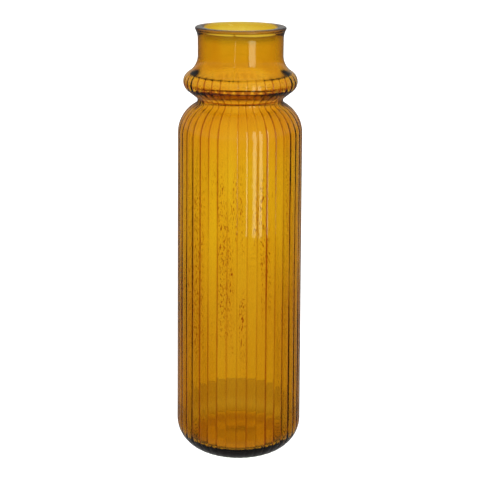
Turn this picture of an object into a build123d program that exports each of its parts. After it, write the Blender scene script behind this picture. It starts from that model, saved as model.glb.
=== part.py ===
from build123d import *
from math import acos, asin, atan2, cos, degrees, hypot, radians, sin, sqrt
import os

# A ribbed amber glass vase, blown in a two-part mould: a tall reeded body, a tight waist, a ribbed
# collar bulge and a plain neck with a flared lip. The glass is one continuous wall. It is divided
# here into the zones that a glassmaker names, which meet face to face. Units are millimetres, the
# axis of the vase is Z, and the vase stands on Z = 0.

# Driving dimensions
VASE_HEIGHT = 330.0
WALL = 5.2               # thickness of the glass at the neck and just above the heel
SHOULDER_WALL = 4.6      # the wall thins from the heel up to the shoulder
COLLAR_WALL = 3.6        # and is thinnest where it is blown out into the collar
BODY_RADIUS = 48.7       # crest radius of the ribs, just above the heel
HEEL_ARC = 23.0          # outer rounding between the wall and the foot
SHOULDER_ARC = 25.0      # outer rounding at the top of the body
SHOULDER_RADIUS = 46.6   # crest radius of the ribs where the shoulder begins
SHOULDER_HEIGHT = 251.5
WAIST_ARC = 3.0          # hollow rounding at the bottom of the groove between shoulder and collar
COLLAR_ARC = 8.3         # rounding of the collar bulge
COLLAR_RADIUS = 42.45    # widest point of the collar
COLLAR_HEIGHT = 289.9
UNDERSIDE_SLOPE = 51.8   # degrees, collar underside from the vertical
NECK_RADIUS = 31.7
NECK_ARC = 14.0          # hollow rounding between collar and neck
LIP_RADIUS = 33.6        # the lip flares out from the neck
LIP_FLARE = 14.0         # hollow rounding below the lip
LIP_EDGE = 1.2           # rounding of the lip's outer edge
LIP_EASE = 2.2           # rounding of the lip's inner edge
FLOOR_TOP = 11.0         # height of the inner floor
FLOOR_ARC = 8.0          # inner rounding between the floor and the wall
KICK_RADIUS = 16.0       # the underside is pushed up inside this radius
KICK_HEIGHT = 0.7

# Ribs: convex reeds with a V-shaped groove between each pair
RIB_COUNT = 40
RIB_TURN = -2.0          # degrees, the groove nearest the front, from the front
GROOVE_DEPTH = 0.5
GROOVE_HALF_WIDTH = 0.8
GROOVE_RUN_OUT = 7.0     # length over which a groove leaves the surface at each end
GROOVE_LOW_ANGLE = -50.0   # degrees around the heel arc where the grooves begin
GROOVE_HIGH_ANGLE = 22.0   # degrees around the collar arc where the grooves begin to fade

# Heights where the zones meet
HEEL_TOP = 34.0
SHOULDER_TOP = 271.0
WAIST_TOP = 280.0

BORE_RADIUS = NECK_RADIUS - WALL


def tangent_tilt(low, low_radius, high, high_radius):
    """Angle above the horizontal of the normal of the line that touches two arcs from outside."""
    run = high[0] - low[0]
    rise = high[1] - low[1]
    return degrees(asin((low_radius - high_radius) / hypot(run, rise)) - atan2(run, rise))


# Centres of the arcs, as (radius, height)
heel_centre = (BODY_RADIUS - HEEL_ARC, HEEL_ARC)
floor_centre = (BODY_RADIUS - WALL - FLOOR_ARC, FLOOR_TOP + FLOOR_ARC)
shoulder_centre = (SHOULDER_RADIUS - SHOULDER_ARC, SHOULDER_HEIGHT)
collar_centre = (COLLAR_RADIUS - COLLAR_ARC, COLLAR_HEIGHT)
lip_centre = (LIP_RADIUS - LIP_EDGE, VASE_HEIGHT - LIP_EDGE)

# Inner arcs of the shoulder, waist and collar
shoulder_inner_arc = SHOULDER_ARC - SHOULDER_WALL
waist_inner_arc = WAIST_ARC + SHOULDER_WALL
collar_inner_arc = COLLAR_ARC - COLLAR_WALL

# The body wall touches the heel and shoulder arcs outside, and the floor and shoulder arcs inside
wall_tilt = tangent_tilt(heel_centre, HEEL_ARC, shoulder_centre, SHOULDER_ARC)
inner_tilt = tangent_tilt(floor_centre, FLOOR_ARC, shoulder_centre, shoulder_inner_arc)

# The neck arc touches the collar arc and the neck
neck_arc_run = NECK_RADIUS + NECK_ARC - collar_centre[0]
neck_arc_rise = sqrt((COLLAR_ARC + NECK_ARC) ** 2 - neck_arc_run ** 2)
neck_centre = (NECK_RADIUS + NECK_ARC, COLLAR_HEIGHT + neck_arc_rise)
neck_arc_angle = degrees(atan2(neck_arc_rise, neck_arc_run))

# Its inner arc starts at the same height on the bore, and touches the inner collar arc
bore_to_collar = collar_centre[0] - BORE_RADIUS
bore_arc = (neck_arc_rise ** 2 / (collar_inner_arc + bore_to_collar) + bore_to_collar - collar_inner_arc) / 2
bore_centre = (BORE_RADIUS + bore_arc, neck_centre[1])
bore_angle = degrees(atan2(neck_arc_rise, bore_arc - bore_to_collar))

# The flare arc touches the neck and the rounded edge of the lip
flare_run = NECK_RADIUS + LIP_FLARE - lip_centre[0]
flare_rise = sqrt((LIP_FLARE + LIP_EDGE) ** 2 - flare_run ** 2)
flare_centre = (NECK_RADIUS + LIP_FLARE, lip_centre[1] - flare_rise)
flare_angle = degrees(atan2(flare_rise, flare_run))

# The waist arc touches the collar's underside and the shoulder arc
slope = radians(UNDERSIDE_SLOPE)
underside_normal = (cos(slope), -sin(slope))
underside_down = (-sin(slope), -cos(slope))
line_start = [collar_centre[i] + (COLLAR_ARC + WAIST_ARC) * underside_normal[i] for i in (0, 1)]
gap = [line_start[i] - shoulder_centre[i] for i in (0, 1)]
along = gap[0] * underside_down[0] + gap[1] * underside_down[1]
reach = -along - sqrt(along ** 2 - gap[0] ** 2 - gap[1] ** 2 + (SHOULDER_ARC + WAIST_ARC) ** 2)
waist_centre = tuple(line_start[i] + reach * underside_down[i] for i in (0, 1))
waist_angle = degrees(atan2(waist_centre[1] - shoulder_centre[1], waist_centre[0] - shoulder_centre[0]))

# Inside, the straight underside touches the inner waist and collar arcs
drop = (waist_centre[0] - collar_centre[0], waist_centre[1] - collar_centre[1])
drop_turn = degrees(acos((waist_inner_arc + collar_inner_arc) / hypot(*drop)))
inner_slope = -degrees(atan2(drop[1], drop[0])) - drop_turn


def on_arc(centre, radius, angle):
    """Point at an angle in degrees on a circle in the (radius, height) plane."""
    return (centre[0] + radius * cos(radians(angle)), centre[1] + radius * sin(radians(angle)))


def shoulder_to_neck(tilt, shoulder_arc, waist_arc, slope, collar_arc, turn, hollow_centre, hollow_arc):
    """Add the curve of the wall from the shoulder to the foot of the neck."""
    CenterArc(shoulder_centre, shoulder_arc, tilt, waist_angle - tilt)
    CenterArc(waist_centre, waist_arc, waist_angle - 180, -waist_angle - slope)
    Line(on_arc(waist_centre, waist_arc, 180 - slope), on_arc(collar_centre, collar_arc, -slope))
    CenterArc(collar_centre, collar_arc, -slope, slope + turn)
    CenterArc(hollow_centre, hollow_arc, turn + 180, -turn)


def zone_of_vessel(low, high):
    """Add the part of the smooth vessel between two heights."""
    add(vessel.part)
    split(bisect_by=Plane.XY.offset(low), keep=Keep.TOP)
    split(bisect_by=Plane.XY.offset(high), keep=Keep.BOTTOM)


def cut_grooves():
    """Cut the grooves between the ribs, all the way round."""
    with PolarLocations(0, RIB_COUNT, start_angle=RIB_TURN - 90):
        add(groove.part, mode=Mode.SUBTRACT)


# The whole vessel: one profile of outer and inner surface, turned about the axis
with BuildPart() as vessel:
    with BuildSketch(Plane.XZ):
        with BuildLine():
            ThreePointArc((0, KICK_HEIGHT), (KICK_RADIUS / 2, KICK_HEIGHT * 0.75), (KICK_RADIUS, 0))
            Line((KICK_RADIUS, 0), (heel_centre[0], 0))
            CenterArc(heel_centre, HEEL_ARC, -90, 90 + wall_tilt)
            Line(on_arc(heel_centre, HEEL_ARC, wall_tilt),
                 on_arc(shoulder_centre, SHOULDER_ARC, wall_tilt))
            shoulder_to_neck(wall_tilt, SHOULDER_ARC, WAIST_ARC, UNDERSIDE_SLOPE,
                             COLLAR_ARC, neck_arc_angle, neck_centre, NECK_ARC)
            Line((NECK_RADIUS, neck_centre[1]), (NECK_RADIUS, flare_centre[1]))
            CenterArc(flare_centre, LIP_FLARE, 180, -flare_angle)
            CenterArc(lip_centre, LIP_EDGE, -flare_angle, 90 + flare_angle)
            Line((lip_centre[0], VASE_HEIGHT), (BORE_RADIUS + LIP_EASE, VASE_HEIGHT))
            CenterArc((BORE_RADIUS + LIP_EASE, VASE_HEIGHT - LIP_EASE), LIP_EASE, 90, 90)
            Line((BORE_RADIUS, VASE_HEIGHT - LIP_EASE), (BORE_RADIUS, neck_centre[1]))
            shoulder_to_neck(inner_tilt, shoulder_inner_arc, waist_inner_arc, inner_slope,
                             collar_inner_arc, bore_angle, bore_centre, bore_arc)
            Line(on_arc(shoulder_centre, shoulder_inner_arc, inner_tilt),
                 on_arc(floor_centre, FLOOR_ARC, inner_tilt))
            CenterArc(floor_centre, FLOOR_ARC, -90, 90 + inner_tilt)
            Line((floor_centre[0], FLOOR_TOP), (0, FLOOR_TOP))
            Line((0, FLOOR_TOP), (0, KICK_HEIGHT))
        make_face()
    revolve(axis=Axis.Z)

# One groove cutter: a V swept along the outer surface, running out of the glass at both ends
heel_start = on_arc(heel_centre, HEEL_ARC, GROOVE_LOW_ANGLE)
collar_end = on_arc(collar_centre, COLLAR_ARC, GROOVE_HIGH_ANGLE)
low_turn = radians(GROOVE_LOW_ANGLE)
high_turn = radians(GROOVE_HIGH_ANGLE)
with BuildPart() as groove:
    with BuildLine(Plane.XZ) as path:
        Line((heel_start[0] + GROOVE_RUN_OUT * sin(low_turn), heel_start[1] - GROOVE_RUN_OUT * cos(low_turn)),
             heel_start)
        CenterArc(heel_centre, HEEL_ARC, GROOVE_LOW_ANGLE, wall_tilt - GROOVE_LOW_ANGLE)
        Line(on_arc(heel_centre, HEEL_ARC, wall_tilt),
             on_arc(shoulder_centre, SHOULDER_ARC, wall_tilt))
        CenterArc(shoulder_centre, SHOULDER_ARC, wall_tilt, waist_angle - wall_tilt)
        CenterArc(waist_centre, WAIST_ARC, waist_angle - 180, -waist_angle - UNDERSIDE_SLOPE)
        Line(on_arc(waist_centre, WAIST_ARC, 180 - UNDERSIDE_SLOPE),
             on_arc(collar_centre, COLLAR_ARC, -UNDERSIDE_SLOPE))
        CenterArc(collar_centre, COLLAR_ARC, -UNDERSIDE_SLOPE, UNDERSIDE_SLOPE + GROOVE_HIGH_ANGLE)
        Line(collar_end,
             (collar_end[0] - GROOVE_RUN_OUT * sin(high_turn), collar_end[1] + GROOVE_RUN_OUT * cos(high_turn)))
    start = path.wires()[0] @ 0
    direction = path.wires()[0] % 0
    outward = Vector(direction.Z, 0, -direction.X)
    with BuildSketch(Plane(origin=start, x_dir=outward, z_dir=direction)) as vee:
        with BuildLine():
            Polyline((-GROOVE_DEPTH, 0), (GROOVE_DEPTH, 2 * GROOVE_HALF_WIDTH),
                     (GROOVE_DEPTH, -2 * GROOVE_HALF_WIDTH), close=True)
        make_face()
    sweep(path=path.wires()[0])

# The zones, from the foot to the mouth
with BuildPart() as base_floor:
    zone_of_vessel(0, HEEL_TOP)
    Cylinder(KICK_RADIUS, 2 * HEEL_TOP, mode=Mode.INTERSECT)

with BuildPart() as heel:
    zone_of_vessel(0, HEEL_TOP)
    Cylinder(KICK_RADIUS, 2 * HEEL_TOP, mode=Mode.SUBTRACT)
    cut_grooves()

with BuildPart() as body_wall:
    zone_of_vessel(HEEL_TOP, SHOULDER_HEIGHT)
    cut_grooves()

with BuildPart() as shoulder:
    zone_of_vessel(SHOULDER_HEIGHT, SHOULDER_TOP)
    cut_grooves()

# The waist stays smooth: the ribs die out where the wall turns sharply inwards
with BuildPart() as waist:
    zone_of_vessel(SHOULDER_TOP, WAIST_TOP)

with BuildPart() as collar:
    zone_of_vessel(WAIST_TOP, neck_centre[1])
    cut_grooves()

with BuildPart() as neck:
    zone_of_vessel(neck_centre[1], flare_centre[1])

with BuildPart() as rim_lip:
    zone_of_vessel(flare_centre[1], VASE_HEIGHT)

base_floor.part.label = "base_floor"
heel.part.label = "heel"
body_wall.part.label = "body_wall"
shoulder.part.label = "shoulder"
waist.part.label = "waist"
collar.part.label = "collar"
neck.part.label = "neck"
rim_lip.part.label = "rim_lip"

os.makedirs("parts", exist_ok=True)
for zone in (base_floor, heel, body_wall, shoulder, waist, collar, neck, rim_lip):
    export_step(zone.part, f"parts/{zone.part.label}.step")
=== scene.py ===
from math import acos, asin, atan2, cos, degrees, hypot, radians, sin, sqrt

import bpy
import numpy as np
from mathutils import Matrix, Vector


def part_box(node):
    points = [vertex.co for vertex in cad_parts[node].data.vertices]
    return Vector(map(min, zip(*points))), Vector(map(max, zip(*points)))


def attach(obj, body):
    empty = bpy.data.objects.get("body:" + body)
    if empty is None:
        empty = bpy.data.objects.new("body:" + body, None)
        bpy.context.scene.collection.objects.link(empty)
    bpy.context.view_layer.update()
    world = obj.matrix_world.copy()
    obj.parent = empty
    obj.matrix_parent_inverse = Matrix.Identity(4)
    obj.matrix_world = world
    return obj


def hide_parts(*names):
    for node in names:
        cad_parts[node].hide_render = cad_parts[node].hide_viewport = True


# A tall vase of ribbed amber glass. Lengths are in metres and angles in degrees. The vessel is one
# wall of glass, so it is one closed mesh here: a profile turned about Z, with flat ribs and narrow
# grooves pressed into its outer face. Profile points are (radius, height). The front is towards -Y.

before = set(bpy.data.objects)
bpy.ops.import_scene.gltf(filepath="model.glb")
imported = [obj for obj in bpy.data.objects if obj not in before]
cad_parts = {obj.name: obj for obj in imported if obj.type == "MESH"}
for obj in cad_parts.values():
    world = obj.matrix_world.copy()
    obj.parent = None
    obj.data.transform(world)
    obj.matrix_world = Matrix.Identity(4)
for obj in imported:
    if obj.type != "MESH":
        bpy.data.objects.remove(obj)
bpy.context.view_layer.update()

MM = 0.001

# ---- Sizes, from the frame where it has them ----
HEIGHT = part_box("rim_lip")[1].z
BODY_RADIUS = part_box("heel")[1].x
COLLAR_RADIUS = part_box("collar")[1].x
LIP_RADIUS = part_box("rim_lip")[1].x
NECK_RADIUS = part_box("neck")[1].x
FLOOR_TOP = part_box("base_floor")[1].z
KICK_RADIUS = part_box("base_floor")[1].x
SHOULDER_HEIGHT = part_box("shoulder")[0].z
SHOULDER_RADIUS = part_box("shoulder")[1].x
WALL = 5.2 * MM             # at the neck and the heel
SHOULDER_WALL = 4.6 * MM
COLLAR_WALL = 3.6 * MM      # the glass is thinnest where it is blown out furthest
HEEL_ARC = 23 * MM
SHOULDER_ARC = 25 * MM
WAIST_ARC = 3 * MM
COLLAR_ARC = 8.3 * MM
COLLAR_HEIGHT = 289.9 * MM
UNDERSIDE_SLOPE = 51.8
NECK_ARC = 14 * MM
LIP_FLARE = 14 * MM
LIP_EDGE = 1.2 * MM
LIP_EASE = 2.2 * MM
FLOOR_ARC = 8 * MM
KICK_HEIGHT = 0.7 * MM
BORE_RADIUS = NECK_RADIUS - WALL

# ---- Ribs and the marks of the mould ----
RIB_COUNT = 40
RIB_STEP = 360 / RIB_COUNT
RIB_TURN = -2.0          # angle of the groove nearest the front
RIB_COLUMNS = 10         # mesh columns across one rib, closest together at its grooves
GROOVE_DEPTH = 0.30 * MM
GROOVE_VARIATION = 0.16  # share by which the depth differs from groove to groove
RIB_FLATNESS = 6.0       # 2 is a plain arc, more is a flatter rib with a narrower groove
INNER_RIB_SHARE = 0.12   # how much of a rib shows on the inner face
HEEL_FADE = (0.55 * BODY_RADIUS, 0.80 * BODY_RADIUS)     # radii where the grooves begin under the heel
COLLAR_FADE = (COLLAR_HEIGHT + 1 * MM, COLLAR_HEIGHT + 9 * MM)
SEAM_ANGLES = (-8.0, 172.0)
SEAM_COLUMNS = (-0.9, -0.45, 0, 0.45, 0.9)               # extra mesh columns, from the middle of a seam
SEAM_HEIGHT = 0.45 * MM
SEAM_WIDTH = 0.55 * MM
SEAM_FOOT = (COLLAR_HEIGHT, COLLAR_HEIGHT + 12 * MM)
SEAM_TOP = (HEIGHT - 4 * MM, HEIGHT - 1 * MM)
CALM_FOOT = (0.004, 0.03)                                # the unevenness fades towards foot and mouth
CALM_TOP = (HEIGHT - 0.010, HEIGHT - 0.002)

# ---- Glass ----
GLASS_IOR = 1.5
LIP_ROUGHNESS = 0.35
CORD_ROUGHNESS = 0.05
SHEEN_WEIGHT = 0.24
SHEEN_ROUGHNESS = 0.25
BUMP_DISTANCE = 0.10 * MM
ABSORPTION_DENSITY = 600.0
ABSORPTION_COLOUR = (0.883, 0.782, 0.05, 1)
NECK_TINT = (0.96, 0.91, 1.0, 1)
RIM_TINT = (0.77, 0.82, 1.0, 1)
LOWER_TINT = (0.915, 0.865, 1.0, 1)
# painted shade for the far side of the foot, seen through the floor
FOOT_PAINTED_SHADE = (0.54, 0.50, 1.0, 1)
# painted shade at the outline of the neck
NECK_EDGE_PAINTED_SHADE = (0.42, 0.42, 0.9, 1)
SHOULDER_TINT = (1.0, 0.89, 1.0, 1)
CORD_TINT = (0.975, 0.91, 0.85, 1)
# red brown for the painted shade and for the real streaks
SHADE_AND_STREAK_BROWN = (0.44, 0.08, 0.03, 1)
WHITE = (1, 1, 1, 1)

# ---- Marks in the glass, and painted shade in grooves, under the collar and at the waist. Noise has about this many features per metre along x, y and z ----
CORD_STRETCH = (95, 95, 9)
FINE_STRETCH = (1500, 1500, 380)
# painted shade along the bottoms of the grooves
GROOVE_SHADE_LINE = (0.035, 0.125)     # half width of the painted shade line in a groove, as shares of a rib: full, gone
GROOVE_SHADE_STRENGTH = 0.9
# painted shade on the collar's underside, as flames
FLAME_SHADE_STRENGTH = 0.6
# painted shade in a thin line just above the waist
WAIST_SHADE_STRENGTH = 0.8

# ---- Heights where the glass and its painted shade change ----
FOOT_SHADE_ZONE = (6 * MM, 35.5 * MM)
LOWER_FADE = (100 * MM, 190 * MM)
STREAK_ZONE = (115 * MM, 205 * MM)
SHOULDER_FADE = (SHOULDER_HEIGHT - 30 * MM, SHOULDER_HEIGHT + 10 * MM)
FLAME_SHADE_ZONE = (281 * MM, 289 * MM)
GROOVE_SHADE_ZONE = (4 * MM, COLLAR_HEIGHT + 4 * MM)
NECK_FADE = (296 * MM, 312 * MM)
RIM_FADE = (HEIGHT - 12 * MM, HEIGHT - 7 * MM)
LIP_FADE = (HEIGHT - 2.0 * MM, HEIGHT - 0.6 * MM)

# ---- Floor, softbox and camera ----
FLOOR_HALF = 30
FLOOR_GREY = (0.15, 0.15, 0.15, 1)
FLOOR_GLOW = 1.3
SPOT_PAINTED_LIGHT = 0.8                  # a painted pool of light, added to the floor just below the vase
SPOT_PAINTED_LIGHT_COLOUR = (0.82, 1.0, 0.7, 1)
SPOT_FADE = (0.024, 0.036)       # distances from the axis
WORLD_STRENGTH = 1.5             # as bright as the floor, so that no horizon shows through the glass
SOFTBOX_SIZE = (0.19, 0.555)
SOFTBOX_POWER = 1.2
SOFTBOX_COLOUR = (0.94, 1.0, 0.66)
SOFTBOX_ANGLE = 31               # from the front towards the right
SOFTBOX_DISTANCE = 0.62          # from the axis
SOFTBOX_HEIGHT = 0.3085
CAMERA_PLACE = (0.0004, -0.9272, 0.4324)
CAMERA_TILT = 15.93              # below the horizontal
CAMERA_ROLL = 0.36
CAMERA_LENS = 94.5
SENSOR_WIDTH = 36

# ---- Brightness of the surroundings, as (direction, grey): 0 is straight down, 1 straight up ----
WHITE_STOPS = ((0.0, 1.0), (0.74, 1.0), (1.0, 0.55))
ROOM_STOPS = ((0.0, 0.09), (0.22, 0.09), (0.30, 0.025), (0.52, 0.025),
              (0.56, 0.2), (0.64, 0.08), (0.85, 0.045))


def on_arc(centre, radius, angle):
    return (centre[0] + radius * cos(radians(angle)), centre[1] + radius * sin(radians(angle)))


def arc(centre, radius, start, end, steps):
    """Points along an arc, without its last point."""
    return [on_arc(centre, radius, start + (end - start) * i / steps) for i in range(steps)]


def line(start, end, steps):
    """Points along a line, without its last point."""
    return [tuple(start[k] + (end[k] - start[k]) * i / steps for k in (0, 1)) for i in range(steps)]


def tangent_tilt(low, low_radius, high, high_radius):
    """Angle above the horizontal of the normal of the line that touches two arcs from outside."""
    run, rise = high[0] - low[0], high[1] - low[1]
    return degrees(asin((low_radius - high_radius) / hypot(run, rise)) - atan2(run, rise))


def vessel_geometry():
    """Centres and angles of the tangent arcs that make the profile."""
    g = {"heel": (BODY_RADIUS - HEEL_ARC, HEEL_ARC),
         "shoulder": (SHOULDER_RADIUS - SHOULDER_ARC, SHOULDER_HEIGHT),
         "collar": (COLLAR_RADIUS - COLLAR_ARC, COLLAR_HEIGHT),
         "lip": (LIP_RADIUS - LIP_EDGE, HEIGHT - LIP_EDGE)}
    # The body wall touches the heel and shoulder arcs. Its inner face touches the floor's arc instead
    g["floor"] = (BODY_RADIUS - WALL - FLOOR_ARC, FLOOR_TOP + FLOOR_ARC)
    g["tilt"] = tangent_tilt(g["heel"], HEEL_ARC, g["shoulder"], SHOULDER_ARC)
    g["inner_tilt"] = tangent_tilt(g["floor"], FLOOR_ARC, g["shoulder"], SHOULDER_ARC - SHOULDER_WALL)
    # The neck arc touches the collar arc and the neck
    neck_run = NECK_RADIUS + NECK_ARC - g["collar"][0]
    neck_rise = sqrt((COLLAR_ARC + NECK_ARC) ** 2 - neck_run ** 2)
    g["neck"] = (NECK_RADIUS + NECK_ARC, COLLAR_HEIGHT + neck_rise)
    g["neck_angle"] = degrees(atan2(neck_rise, neck_run))
    # Its inner arc starts at the same height on the bore, and touches the inner collar arc
    inner_arc = COLLAR_ARC - COLLAR_WALL
    reach_in = g["collar"][0] - BORE_RADIUS
    g["bore_arc"] = (neck_rise ** 2 / (inner_arc + reach_in) + reach_in - inner_arc) / 2
    g["bore"] = (BORE_RADIUS + g["bore_arc"], g["neck"][1])
    g["bore_angle"] = degrees(atan2(neck_rise, g["bore_arc"] - reach_in))
    # The flare arc touches the neck and the rounded edge of the lip
    flare_run = NECK_RADIUS + LIP_FLARE - g["lip"][0]
    flare_rise = sqrt((LIP_FLARE + LIP_EDGE) ** 2 - flare_run ** 2)
    g["flare"] = (NECK_RADIUS + LIP_FLARE, g["lip"][1] - flare_rise)
    g["flare_angle"] = degrees(atan2(flare_rise, flare_run))
    # The waist arc touches the collar's underside and the shoulder arc
    slope = radians(UNDERSIDE_SLOPE)
    down = (-sin(slope), -cos(slope))
    start = on_arc(g["collar"], COLLAR_ARC + WAIST_ARC, -UNDERSIDE_SLOPE)
    gap = (start[0] - g["shoulder"][0], start[1] - g["shoulder"][1])
    along = gap[0] * down[0] + gap[1] * down[1]
    reach = -along - sqrt(along ** 2 - gap[0] ** 2 - gap[1] ** 2 + (SHOULDER_ARC + WAIST_ARC) ** 2)
    g["waist"] = (start[0] + reach * down[0], start[1] + reach * down[1])
    g["waist_angle"] = degrees(atan2(g["waist"][1] - g["shoulder"][1], g["waist"][0] - g["shoulder"][0]))
    # Inside, the straight underside touches the inner waist and collar arcs
    drop = (g["waist"][0] - g["collar"][0], g["waist"][1] - g["collar"][1])
    turn = acos((WAIST_ARC + SHOULDER_WALL + inner_arc) / hypot(*drop))
    g["inner_slope"] = degrees(-atan2(drop[1], drop[0]) - turn)
    return g


GEOMETRY = vessel_geometry()
NECK_FOOT = GEOMETRY["neck"][1]
WAIST_HEIGHT = GEOMETRY["waist"][1]


def shoulder_to_neck(tilt, shoulder_arc, waist_arc, slope, collar_arc, turn, neck_centre, neck_arc):
    """The curve of the wall from the shoulder to the foot of the neck, both ends included."""
    g = GEOMETRY
    points = arc(g["shoulder"], shoulder_arc, tilt, g["waist_angle"], 16)
    points += arc(g["waist"], waist_arc, g["waist_angle"] + 180, 180 - slope, 9)
    points += line(on_arc(g["waist"], waist_arc, 180 - slope),
                   on_arc(g["collar"], collar_arc, -slope), 6)
    points += arc(g["collar"], collar_arc, -slope, turn, 20)
    points += arc(neck_centre, neck_arc, turn + 180, 180, 12)
    return points + [(neck_centre[0] - neck_arc, neck_centre[1])]


def kick_curve(steps):
    """The pushed-up middle of the underside, without its last point."""
    shares = [i / steps for i in range(steps)]
    return [(KICK_RADIUS * share, KICK_HEIGHT * (1 - share ** 2) ** 2) for share in shares]


def vessel_profile():
    """Outer face from the middle of the underside up to the mouth, then the inner face down to the
    middle of the floor. Returns the points and the number that belong to the outer face."""
    g = GEOMETRY
    foot = 180 - g["flare_angle"]
    outer = kick_curve(8)
    outer += line((KICK_RADIUS, 0), (g["heel"][0], 0), 3)
    outer += arc(g["heel"], HEEL_ARC, -90, g["tilt"], 22)
    outer += line(on_arc(g["heel"], HEEL_ARC, g["tilt"]),
                  on_arc(g["shoulder"], SHOULDER_ARC, g["tilt"]), 20)
    outer += shoulder_to_neck(g["tilt"], SHOULDER_ARC, WAIST_ARC, UNDERSIDE_SLOPE,
                              COLLAR_ARC, g["neck_angle"], g["neck"], NECK_ARC)[:-1]
    outer += line((NECK_RADIUS, NECK_FOOT), (NECK_RADIUS, g["flare"][1]), 4)
    outer += arc(g["flare"], LIP_FLARE, 180, foot, 8)
    outer += arc(g["lip"], LIP_EDGE, -g["flare_angle"], 90, 9)
    inner = line((g["lip"][0], HEIGHT), (BORE_RADIUS + LIP_EASE, HEIGHT), 2)
    inner += arc((BORE_RADIUS + LIP_EASE, HEIGHT - LIP_EASE), LIP_EASE, 90, 180, 7)
    inner += line((BORE_RADIUS, HEIGHT - LIP_EASE), (BORE_RADIUS, NECK_FOOT), 4)
    inner += shoulder_to_neck(g["inner_tilt"], SHOULDER_ARC - SHOULDER_WALL, WAIST_ARC + SHOULDER_WALL,
                              g["inner_slope"], COLLAR_ARC - COLLAR_WALL, g["bore_angle"],
                              g["bore"], g["bore_arc"])[:0:-1]
    inner += line(on_arc(g["shoulder"], SHOULDER_ARC - SHOULDER_WALL, g["inner_tilt"]),
                  on_arc(g["floor"], FLOOR_ARC, g["inner_tilt"]), 10)
    inner += arc(g["floor"], FLOOR_ARC, g["inner_tilt"], -90, 11)
    inner += line((g["floor"][0], FLOOR_TOP), (0, FLOOR_TOP), 4) + [(0, FLOOR_TOP)]
    return np.array(outer + inner), len(outer)


def smooth_step(x, low, high):
    """0 below low, 1 above high, and a smooth rise between them."""
    t = np.clip((x - low) / (high - low), 0, 1)
    return t * t * (3 - 2 * t)


def column_angles():
    """Angles of the mesh columns in degrees from the front: close together at grooves and seams."""
    across = 0.5 + 0.5 * np.sin(np.pi * (np.arange(RIB_COLUMNS) / RIB_COLUMNS - 0.5))
    ribs = (RIB_TURN + RIB_STEP * (np.arange(RIB_COUNT)[:, None] + across[None, :])).ravel()
    seams = [seam + offset for seam in SEAM_ANGLES for offset in SEAM_COLUMNS]
    return np.sort(np.mod(np.concatenate([ribs, seams]), 360))


def groove_sink(angles, heights):
    """How far each point of the ribbed face sinks below the crest of its rib."""
    place = (angles - RIB_TURN) / RIB_STEP
    rib = np.floor(place)
    across = np.abs(2 * (place - rib) - 1)
    vary = 1 + GROOVE_VARIATION * np.sin(rib * 2.4) * np.sin(rib * 0.7 + heights / 0.06)
    return GROOVE_DEPTH * vary * across ** RIB_FLATNESS


def surface_sink(profile, is_outer, angles):
    """How far each point of the turned profile moves into the glass, as rings by columns."""
    theta = angles[None, :]
    turn = np.radians(theta)
    radius, z = profile[:, :1], profile[:, 1:]
    outer = is_outer[:, None]
    heel_fade = smooth_step(radius, *HEEL_FADE)
    collar_fade = 1 - smooth_step(z, *COLLAR_FADE)
    strength = np.where(z < 0.5 * HEIGHT, heel_fade, collar_fade)
    sink = groove_sink(theta, z) * strength * np.where(outer, 1, INNER_RIB_SHARE)
    # Slow waves of blown glass around and along it, more on the inner face than on the outer one
    inner_swell = (0.16 * np.sin(2 * turn + z / 0.05) + 0.10 * np.sin(5 * turn - z / 0.023)
                   + 0.07 * np.sin(9 * turn + z / 0.031 + 1.3)) * MM
    outer_swell = (0.16 + 0.10 * np.sin(2 * turn + 0.6) + 0.06 * np.sin(3 * turn - z / 0.06)) * MM
    calm = smooth_step(z, *CALM_FOOT) * (1 - smooth_step(z, *CALM_TOP))
    sink = sink + np.where(outer, outer_swell, inner_swell) * calm
    # The seams of the two halves of the mould stand proud of the plain neck
    off_seam = np.min([np.abs((theta - s + 180) % 360 - 180) for s in SEAM_ANGLES], axis=0)
    seam = np.exp(-(np.radians(off_seam) * radius / SEAM_WIDTH) ** 2) * outer
    seam = seam * smooth_step(z, *SEAM_FOOT)
    return sink - SEAM_HEIGHT * seam * (1 - smooth_step(z, *SEAM_TOP))


def ring_faces(rings, columns):
    """Quads between the rings, and triangles to the two middle points that follow them."""
    faces = []
    last = (rings - 1) * columns
    under, floor = rings * columns, rings * columns + 1
    for j in range(columns):
        k = (j + 1) % columns
        for base in range(0, last, columns):
            faces.append((base + j, base + k, base + columns + k, base + columns + j))
        faces.append((under, k, j))
        faces.append((floor, last + j, last + k))
    return faces


def vessel_mesh():
    """The profile turned about Z, each point moved into the glass along the profile's normal."""
    profile, outer_count = vessel_profile()
    angles = column_angles()
    is_outer = np.arange(len(profile)) < outer_count
    tangent = np.gradient(profile, axis=0)
    tangent /= np.linalg.norm(tangent, axis=1)[:, None]
    sink = surface_sink(profile, is_outer, angles)
    r = np.maximum(profile[:, :1] - tangent[:, 1:] * sink, 0)
    h = profile[:, 1:] + tangent[:, :1] * sink
    turn = np.radians(angles)[None, :]
    points = np.stack([r * np.sin(turn), -r * np.cos(turn), h], axis=2)
    middles = [[0, 0, profile[0, 1]], [0, 0, profile[-1, 1]]]
    vertices = np.vstack([points[1:-1].reshape(-1, 3), middles])
    faces = ring_faces(len(profile) - 2, len(angles))
    mesh = bpy.data.meshes.new("vessel")
    mesh.from_pydata(vertices.tolist(), [], faces)
    mesh.polygons.foreach_set("use_smooth", [True] * len(faces))
    # The glass material marks the outer skin only. The two middle points come last, under and floor
    marked = np.append(np.repeat(is_outer[1:-1], len(angles)), [1, 0])
    skin = mesh.attributes.new("outer_skin", "FLOAT", "POINT")
    skin.data.foreach_set("value", marked.astype(float))
    mesh.update()
    return mesh


def add_object(name, data):
    piece = bpy.data.objects.new(name, data)
    bpy.context.scene.collection.objects.link(piece)
    return piece


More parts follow.
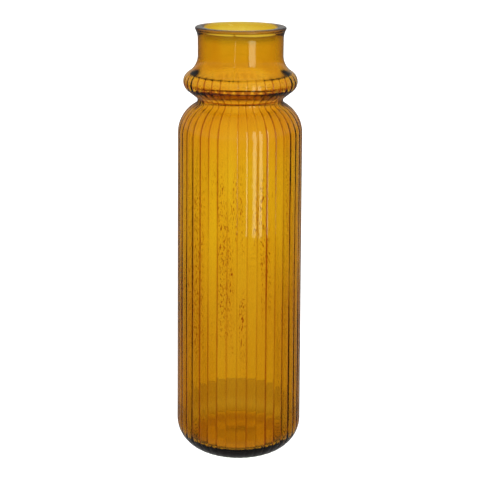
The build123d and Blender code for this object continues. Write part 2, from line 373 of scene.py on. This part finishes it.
class Nodes:
    """The node tree of one material, with short calls for its arithmetic."""

    def __init__(self, name):
        self.material = bpy.data.materials.new(name)
        self.material.use_nodes = True
        self.tree = self.material.node_tree
        self.shader = self.tree.nodes["Principled BSDF"]

    def feed(self, socket, value):
        """Link another node's output to the socket, or set the socket to a plain value."""
        if isinstance(value, bpy.types.NodeSocket):
            self.tree.links.new(value, socket)
        else:
            socket.default_value = value

    def math(self, operation, *values):
        made = self.tree.nodes.new("ShaderNodeMath")
        made.operation = operation
        for socket, value in zip(made.inputs, values):
            self.feed(socket, value)
        return made.outputs[0]

    def times(self, first, *rest):
        for value in rest:
            first = self.math("MULTIPLY", first, value)
        return first

    def ramp(self, value, low, high, start=0.0, end=1.0):
        """A smooth step from start, where value is low, to end, where it is high."""
        made = self.tree.nodes.new("ShaderNodeMapRange")
        made.interpolation_type = "SMOOTHSTEP"
        for key, number in (("Value", value), ("From Min", low), ("From Max", high),
                            ("To Min", start), ("To Max", end)):
            self.feed(made.inputs[key], number)
        return made.outputs["Result"]

    def between(self, value, low, high, soft):
        """1 between two values, fading to 0 beyond them."""
        rising = self.ramp(value, low - soft, low)
        return self.times(rising, self.ramp(value, high, high + soft, 1.0, 0.0))

    def place(self):
        """The object's own x, y and z, and the vector itself."""
        coordinates = self.tree.nodes.new("ShaderNodeTexCoord").outputs["Object"]
        parts = self.tree.nodes.new("ShaderNodeSeparateXYZ")
        self.feed(parts.inputs[0], coordinates)
        return parts.outputs[0], parts.outputs[1], parts.outputs[2], coordinates

    def noise(self, vector, stretch, detail):
        """Noise between 0 and 1, with about stretch features per metre along each axis."""
        scaled = self.tree.nodes.new("ShaderNodeVectorMath")
        scaled.operation = "MULTIPLY"
        self.feed(scaled.inputs[0], vector)
        scaled.inputs[1].default_value = stretch
        made = self.tree.nodes.new("ShaderNodeTexNoise")
        made.inputs["Scale"].default_value = 1.0
        made.inputs["Detail"].default_value = detail
        self.feed(made.inputs["Vector"], scaled.outputs[0])
        return made.outputs["Fac"]

    def mix(self, blend, factor, under, over):
        """One colour laid over another. The sockets are found by identifier, as their names repeat."""
        made = self.tree.nodes.new("ShaderNodeMix")
        made.data_type = "RGBA"
        made.blend_type = blend
        for key, value in (("Factor_Float", factor), ("A_Color", under), ("B_Color", over)):
            socket = next(s for s in made.inputs if s.identifier == key)
            self.feed(socket, value)
        return next(s for s in made.outputs if s.identifier == "Result_Color")

    def bump(self, height, distance):
        made = self.tree.nodes.new("ShaderNodeBump")
        made.inputs["Distance"].default_value = distance
        self.feed(made.inputs["Height"], height)
        self.feed(self.shader.inputs["Normal"], made.outputs["Normal"])


def groove_painted_shade(n, height, to_groove, rib, noise):
    """Painted shade: dark lines at the bottoms of the grooves, of uneven strength from groove to groove.
    """
    # The painted shade is weaker at the front and back than at the sides
    side = n.math("ABSOLUTE", n.math("SINE", n.math("RADIANS", n.times(rib, RIB_STEP))))
    uneven = n.ramp(n.math("SINE", n.times(rib, 2.4)), -1.0, 1.0, 0.6, 1.0)
    strength = n.times(uneven, n.ramp(side, 0.1, 0.5, 0.45, 1.0))
    broken = n.ramp(noise, 0.36, 0.56, 0.45, 1.0)
    shade_line_mask = n.ramp(to_groove, *GROOVE_SHADE_LINE, 1.0, 0.0)
    reach = n.between(height, *GROOVE_SHADE_ZONE, 5 * MM)
    return n.times(shade_line_mask, strength, broken, reach)


def collar_flame_shade(n, height, to_groove, noise):
    """Painted shade: dark flames on the collar's underside, wide at the top and running down into the
    grooves.
    """
    rise = n.ramp(height, *FLAME_SHADE_ZONE)
    width = n.math("ADD", n.times(rise, rise, 0.42), n.ramp(noise, 0.3, 0.7, -0.04, 0.10))
    flame_shade_mask = n.ramp(n.math("SUBTRACT", to_groove, width), -0.07, 0.03, 1.0, 0.0)
    return n.times(flame_shade_mask, n.between(height, WAIST_HEIGHT, FLAME_SHADE_ZONE[1], 1.2 * MM))


def brown(n, mask, colour):
    """Darken the colour towards red brown, for painted shade and for the real streaks, in two passes so
    that a faint mark turns red before it turns dark.
    """
    once = n.mix("MULTIPLY", mask, colour, SHADE_AND_STREAK_BROWN)
    return n.mix("MULTIPLY", mask, once, SHADE_AND_STREAK_BROWN)


def zone_tint(n, height, neck):
    """The tint of each zone: redder at the shoulder, deeper at the neck and towards the bottom."""
    shoulder = n.ramp(height, *SHOULDER_FADE)
    colour = n.mix("MIX", shoulder, WHITE, SHOULDER_TINT)
    colour = n.mix("MIX", neck, colour, NECK_TINT)
    return n.mix("MIX", n.ramp(height, *LOWER_FADE, 1.0, 0.0), colour, LOWER_TINT)


def amber_glass():
    """Clear amber glass. The thickness gives the colour, and the nodes add what varies over it."""
    n = Nodes("amber_glass")
    x, y, height, coordinates = n.place()
    angle = n.math("DEGREES", n.math("ARCTAN2", x, n.times(y, -1.0)))
    place = n.math("DIVIDE", n.math("SUBTRACT", angle, RIB_TURN), RIB_STEP)
    rib = n.math("ROUND", place)
    to_groove = n.math("ABSOLUTE", n.math("SUBTRACT", place, rib))
    skin = n.tree.nodes.new("ShaderNodeAttribute")
    skin.attribute_name = "outer_skin"
    # A mark seen through the glass from behind keeps a quarter of its strength
    seen_from_inside = n.tree.nodes.new("ShaderNodeNewGeometry").outputs["Backfacing"]
    outer = n.times(skin.outputs["Fac"], n.math("SUBTRACT", 1.0, n.times(seen_from_inside, 0.75)))

    # Cords and seeds of recycled glass, drawn out along the axis
    cords = n.noise(coordinates, CORD_STRETCH, 3.0)
    fine = n.noise(coordinates, FINE_STRETCH, 2.0)
    on_rib = n.ramp(to_groove, 0.22, 0.42, 0.65, 1.0)
    streaks = n.times(n.ramp(fine, 0.58, 0.61), n.ramp(cords, 0.47, 0.56), on_rib,
                      n.between(height, *STREAK_ZONE, 45 * MM))

    # Tints: the zones, painted shade on the far side of the foot, the rim, painted shade at the edges of
    # the neck, and the cords
    neck = n.ramp(height, *NECK_FADE)
    colour = zone_tint(n, height, neck)
    # Painted shade: the outer skin of the foot, where it is seen from inside the glass, is darkened
    foot = n.between(height, *FOOT_SHADE_ZONE, 1 * MM)
    far_foot_shade = n.times(skin.outputs["Fac"], seen_from_inside, foot)
    colour = n.mix("MULTIPLY", far_foot_shade, colour, FOOT_PAINTED_SHADE)
    colour = n.mix("MULTIPLY", n.ramp(height, *RIM_FADE), colour, RIM_TINT)
    # Painted shade: the neck darkens towards its outline, where it is seen edge on
    neck_shade_facing = n.tree.nodes.new("ShaderNodeLayerWeight")
    neck_shade_facing.inputs["Blend"].default_value = 0.5
    neck_edge_shade = n.times(neck, n.ramp(neck_shade_facing.outputs["Facing"], 0.45, 0.85), outer)
    colour = n.mix("MULTIPLY", neck_edge_shade, colour, NECK_EDGE_PAINTED_SHADE)
    colour = n.mix("MULTIPLY", n.ramp(cords, 0.35, 0.65), colour, CORD_TINT)

    # Marks on the outer skin: painted shade in the grooves, under the collar and at the waist, and real
    # streaks of seeds
    grooves = n.times(groove_painted_shade(n, height, to_groove, rib, cords), outer, GROOVE_SHADE_STRENGTH)
    colour = brown(n, grooves, colour)
    colour = brown(n, n.times(streaks, outer), colour)
    flames = n.times(collar_flame_shade(n, height, to_groove, fine), outer, FLAME_SHADE_STRENGTH)
    colour = brown(n, flames, colour)
    # Painted shade: a thin dark line just above the waist
    waist_shade = n.between(height, WAIST_HEIGHT + 1.2 * MM, WAIST_HEIGHT + 1.7 * MM, 0.4 * MM)
    colour = brown(n, n.times(waist_shade, outer, WAIST_SHADE_STRENGTH), colour)
    n.feed(n.shader.inputs["Base Color"], colour)

    # Gloss and transparency
    lip_haze = n.ramp(height, *LIP_FADE, 0.0, LIP_ROUGHNESS)
    cord_haze = n.ramp(cords, 0.35, 0.70, 0.0, CORD_ROUGHNESS)
    n.feed(n.shader.inputs["Roughness"], n.math("ADD", lip_haze, cord_haze))
    n.bump(n.math("ADD", cords, n.times(fine, 0.15)), BUMP_DISTANCE)
    n.shader.inputs["Transmission Weight"].default_value = 1.0
    n.shader.inputs["IOR"].default_value = GLASS_IOR
    n.shader.inputs["Sheen Weight"].default_value = SHEEN_WEIGHT
    n.shader.inputs["Sheen Roughness"].default_value = SHEEN_ROUGHNESS
    absorption = n.tree.nodes.new("ShaderNodeVolumeAbsorption")
    absorption.inputs["Density"].default_value = ABSORPTION_DENSITY
    absorption.inputs["Color"].default_value = ABSORPTION_COLOUR
    n.tree.links.new(absorption.outputs["Volume"], n.tree.nodes["Material Output"].inputs["Volume"])
    return n.material


def make_vessel():
    """The one visual piece, which stands for all the zones of the glass."""
    piece = add_object("vessel_glass", vessel_mesh())
    piece.data.materials.append(amber_glass())
    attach(piece, "root")
    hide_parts("base_floor", "heel", "body_wall", "shoulder", "waist", "collar", "neck", "rim_lip")


def make_floor():
    """A white floor that glows, more so just below the vase, where a pool of light is painted. The glass
    doesn't mirror it.
    """
    mesh = bpy.data.meshes.new("floor")
    corners = [(x * FLOOR_HALF, y * FLOOR_HALF, 0) for x, y in ((-1, -1), (1, -1), (1, 1), (-1, 1))]
    mesh.from_pydata(corners, [], [(0, 1, 2, 3)])
    floor = add_object("floor", mesh)
    n = Nodes("pale_floor")
    n.shader.inputs["Base Color"].default_value = FLOOR_GREY
    n.shader.inputs["Roughness"].default_value = 0.8
    x, y = n.place()[:2]
    from_axis = n.math("SQRT", n.math("ADD", n.times(x, x), n.times(y, y)))
    # Painted light: a pool of extra glow on the floor just below the vase
    painted_light_pool = n.ramp(from_axis, *SPOT_FADE, 1.0, 0.0)
    n.feed(n.shader.inputs["Emission Color"], n.mix("MIX", painted_light_pool, WHITE, SPOT_PAINTED_LIGHT_COLOUR))
    glow_with_painted_pool = n.math("ADD", FLOOR_GLOW, n.times(painted_light_pool, SPOT_PAINTED_LIGHT))
    n.feed(n.shader.inputs["Emission Strength"], glow_with_painted_pool)
    floor.data.materials.append(n.material)
    floor.visible_glossy = False


def grey_ramp(tree, value, stops):
    """A ramp of greys along a value between 0 and 1."""
    ramp = tree.nodes.new("ShaderNodeValToRGB")
    while len(ramp.color_ramp.elements) < len(stops):
        ramp.color_ramp.elements.new(0.5)
    for element, (position, grey) in zip(ramp.color_ramp.elements, stops):
        element.position = position
        element.color = (grey, grey, grey, 1)
    tree.links.new(value, ramp.inputs["Fac"])
    return ramp.outputs["Color"]


def make_world():
    """Soft white light from all round, dimmer overhead. Mirrored rays see a darker room instead."""
    world = bpy.data.worlds.new("studio")
    bpy.context.scene.world = world
    world.use_nodes = True
    tree = world.node_tree
    parts = tree.nodes.new("ShaderNodeSeparateXYZ")
    tree.links.new(tree.nodes.new("ShaderNodeTexCoord").outputs["Generated"], parts.inputs[0])
    upward = tree.nodes.new("ShaderNodeMapRange")
    upward.inputs["From Min"].default_value = -1
    tree.links.new(parts.outputs["Z"], upward.inputs["Value"])
    white = grey_ramp(tree, upward.outputs["Result"], WHITE_STOPS)
    room = grey_ramp(tree, upward.outputs["Result"], ROOM_STOPS)
    rays = tree.nodes.new("ShaderNodeLightPath")
    mirrored = tree.nodes.new("ShaderNodeMath")
    mirrored.operation = "MULTIPLY"
    tree.links.new(rays.outputs["Is Reflection Ray"], mirrored.inputs[0])
    tree.links.new(rays.outputs["Is Glossy Ray"], mirrored.inputs[1])
    seen = tree.nodes.new("ShaderNodeMix")
    seen.data_type = "RGBA"
    tree.links.new(mirrored.outputs[0], seen.inputs[0])
    tree.links.new(white, seen.inputs[6])
    tree.links.new(room, seen.inputs[7])
    background = tree.nodes["Background"]
    tree.links.new(seen.outputs[2], background.inputs["Color"])
    background.inputs["Strength"].default_value = WORLD_STRENGTH


def make_softbox():
    """A tall softbox to the right of the camera, seen only in reflections."""
    light = bpy.data.lights.new("softbox", "AREA")
    light.shape = "RECTANGLE"
    light.size, light.size_y = SOFTBOX_SIZE
    light.energy = SOFTBOX_POWER
    light.color = SOFTBOX_COLOUR
    box = add_object("softbox", light)
    angle = radians(SOFTBOX_ANGLE)
    box.location = (SOFTBOX_DISTANCE * sin(angle), -SOFTBOX_DISTANCE * cos(angle), SOFTBOX_HEIGHT)
    box.rotation_euler = (radians(90), 0, angle)
    box.visible_camera = False
    box.visible_transmission = False


def make_camera():
    """A long lens in front of the vase and above it, tilted down."""
    camera = bpy.data.cameras.new("camera")
    camera.sensor_width = SENSOR_WIDTH
    camera.lens = CAMERA_LENS
    camera.clip_end = 100
    holder = add_object("camera", camera)
    holder.rotation_mode = "QUATERNION"
    holder.location = CAMERA_PLACE
    pitch = Matrix.Rotation(radians(90 - CAMERA_TILT), 4, "X")
    roll = Matrix.Rotation(radians(CAMERA_ROLL), 4, "Z")
    holder.rotation_quaternion = (pitch @ roll).to_quaternion()
    bpy.context.scene.camera = holder


make_vessel()
make_floor()
make_world()
make_softbox()
make_camera()
bpy.context.scene.view_settings.view_transform = "Standard"
